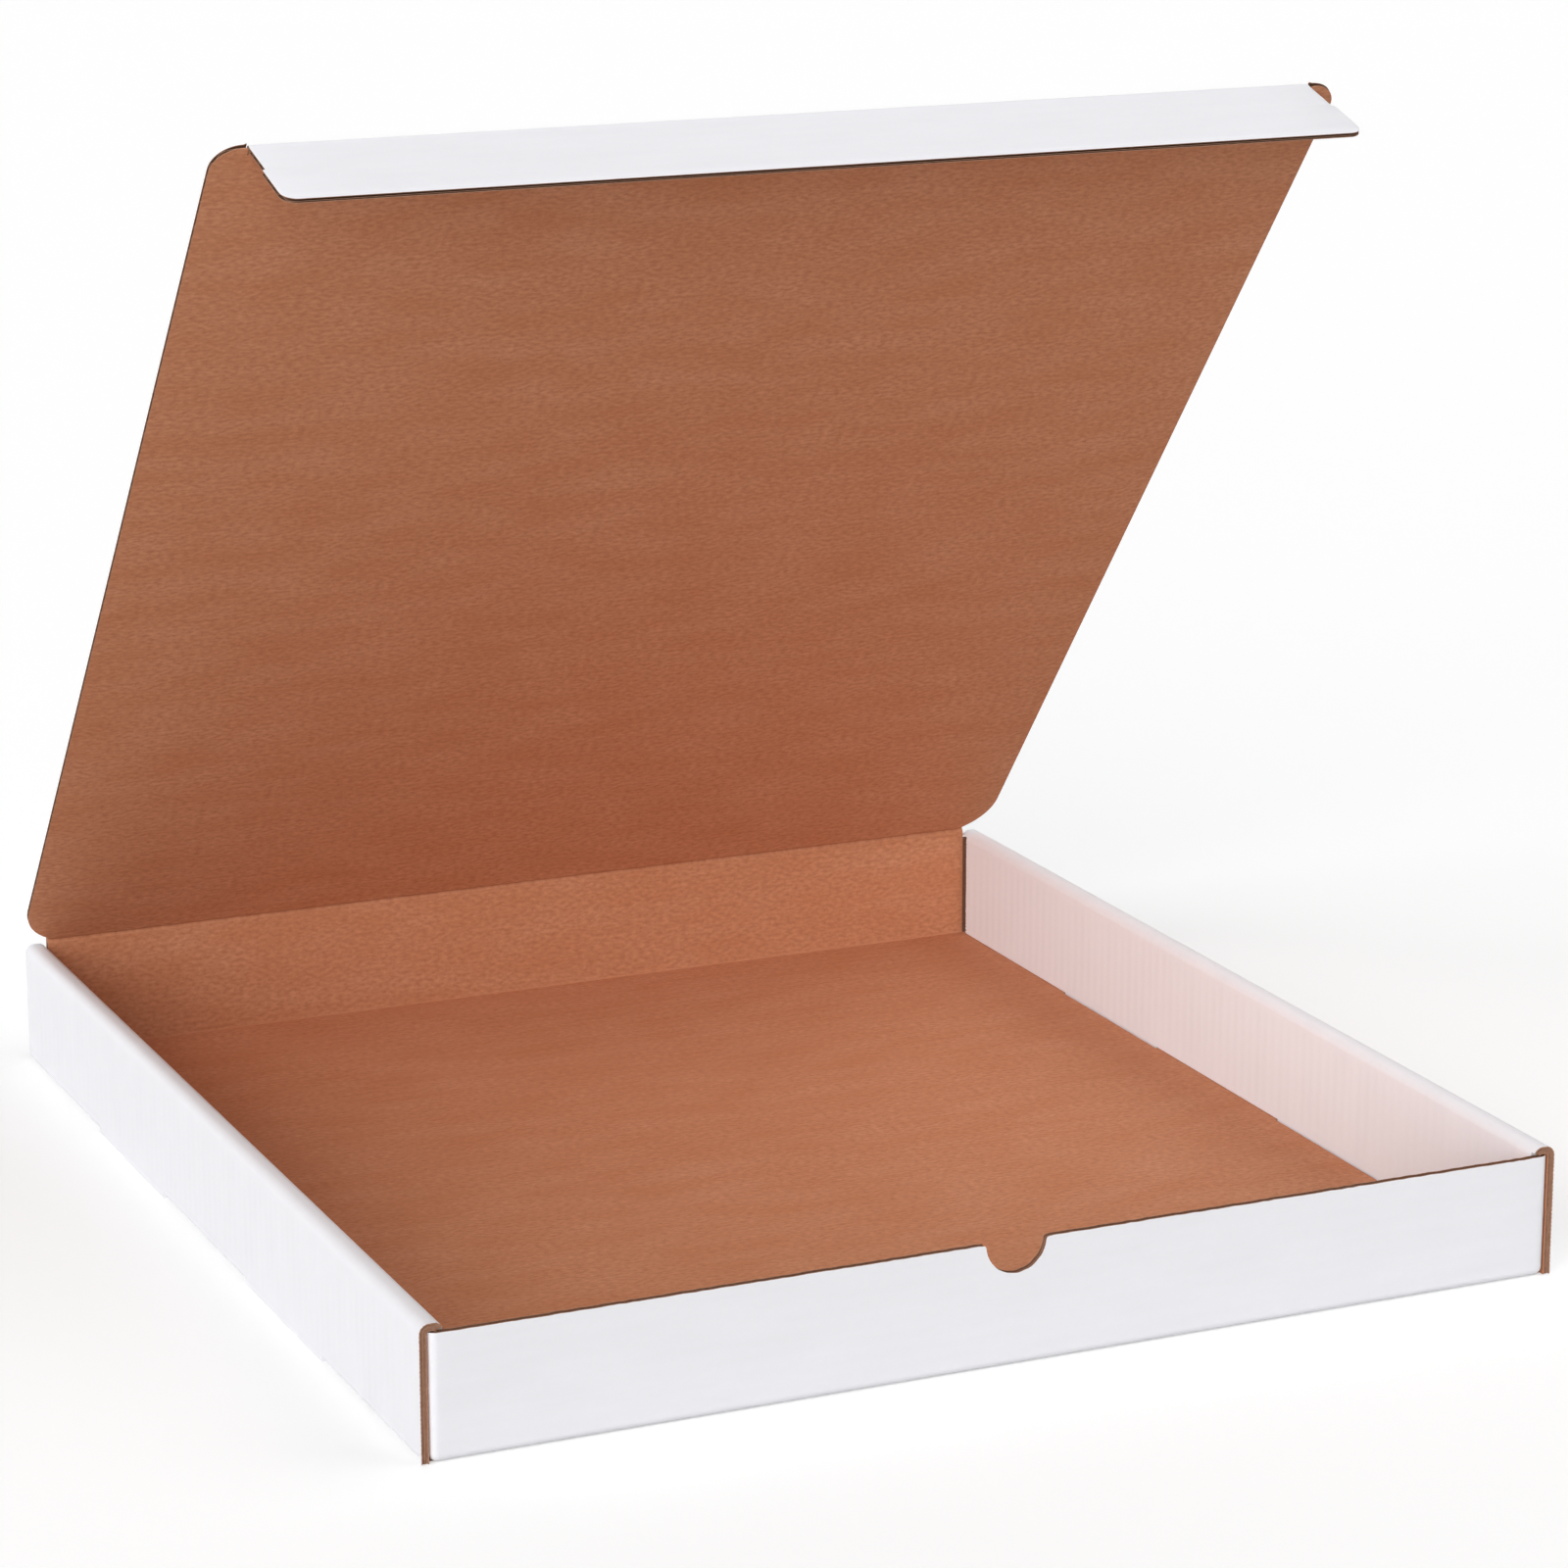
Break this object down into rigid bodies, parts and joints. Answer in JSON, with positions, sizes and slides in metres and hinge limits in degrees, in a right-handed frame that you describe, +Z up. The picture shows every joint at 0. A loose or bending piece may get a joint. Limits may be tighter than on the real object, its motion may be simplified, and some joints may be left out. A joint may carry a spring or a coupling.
{
  "type": "literature mailer box",
  "caption": "Shallow corrugated mailer box, white outside and kraft inside, with rolled side walls, a thumb notch, a back-hinged lid and a front tuck flap, for posting flat papers.",
  "frame": {"origin": "centre of the tray's underside, on the surface it stands on", "axes": "+X along the front panel, +Y from the front to the hinge at the back, +Z up"},
  "size_m": [0.4804, 0.514, 0.4513],
  "materials": {
    "white_board": "white bleached liner, smooth and matt",
    "kraft_board": "unbleached kraft liner, matt with fine fibre"
  },
  "bodies": {
    "tray": {"tray": "white_board"},
    "lid": {"lid": "kraft_board"},
    "tuck_flap": {"tuck_flap": "white_board"}
  },
  "joints": [
    {"name": "lid_hinge", "type": "hinge", "parent": "tray", "child": "lid", "pos_m": [0, 0.2555, 0.0556], "axis": [-1, 0, 0], "range_deg": [-51.2, 128.8]},
    {"name": "tuck_flap_crease", "type": "hinge", "parent": "lid", "child": "tuck_flap", "pos_m": [0, -0.06094, 0.44917], "axis": [-1, 0, 0], "range_deg": [-23.4, 58.7]}
  ],
  "couplings": [
    {"joint": "tuck_flap_crease", "follows": "lid_hinge", "ratio": 0.455}
  ]
}
